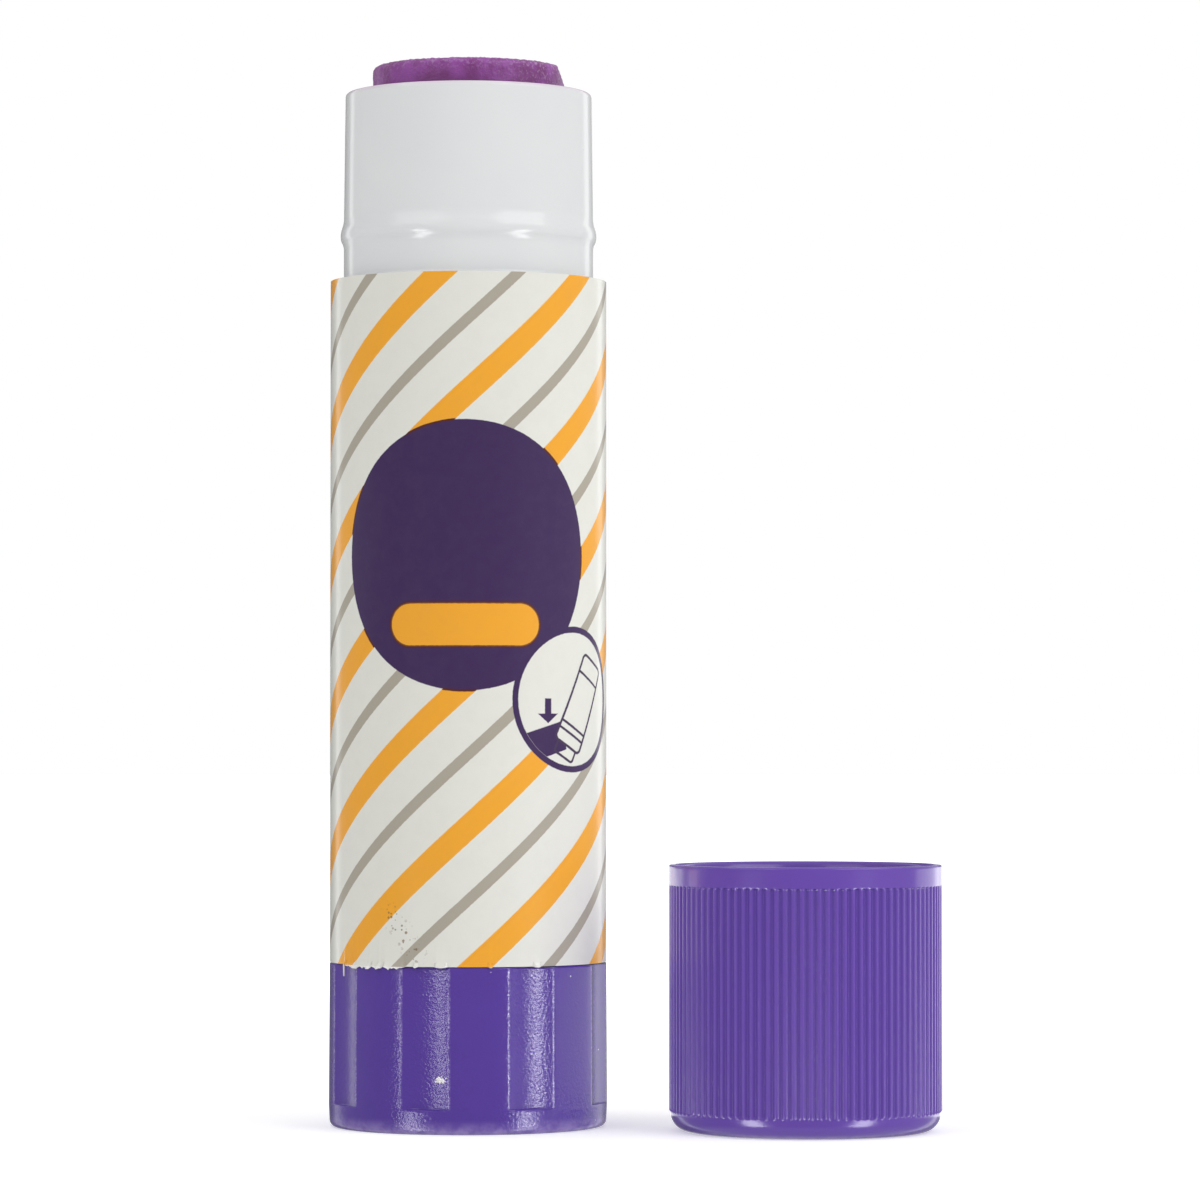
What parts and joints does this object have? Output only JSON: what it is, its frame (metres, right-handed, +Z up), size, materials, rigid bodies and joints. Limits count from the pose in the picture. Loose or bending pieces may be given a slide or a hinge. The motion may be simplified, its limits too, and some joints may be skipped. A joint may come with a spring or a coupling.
{
  "type": "glue stick",
  "caption": "Twist-up glue stick with a fluted knob, a stepped neck with a snap bead, a wrapped label, and a ribbed push-on cap standing beside it.",
  "frame": {"origin": "middle of the knob's standing face, on the axis of the stick", "axes": "+Z up along the stick, -Y to the front where the round print faces, +X to the side where the cap stands"},
  "size_m": [0.0573, 0.0325, 0.0997],
  "materials": {
    "white_plastic": "moulded white, satin gloss",
    "label_film": "printed film, gloss",
    "purple_plastic": "moulded purple, satin gloss",
    "glue": "waxy, moist at its worn rim"
  },
  "bodies": {
    "barrel": {"barrel": "white_plastic", "label": "label_film"},
    "knob": {"knob": "purple_plastic", "spindle": "white_plastic"},
    "carrier": {"carrier": "white_plastic", "glue": "glue"},
    "cap": {"cap": "purple_plastic"}
  },
  "joints": [
    {"name": "knob_twist", "type": "hinge", "parent": "barrel", "child": "knob", "pos_m": [0, 0, 0], "axis": [0, 0, 1], "range_deg": [-252, 3924]},
    {"name": "glue_lift", "type": "slide", "parent": "barrel", "child": "carrier", "axis": [0, 0, 1], "range_m": [-0.0035, 0.0545]},
    {"name": "cap_lift", "type": "slide", "parent": "barrel", "child": "cap", "axis": [0, 0, 1], "range_m": [0, 0.102]}
  ],
  "couplings": [
    {"joint": "glue_lift", "follows": "knob_twist", "m_per_rad": 0.00079577}
  ]
}
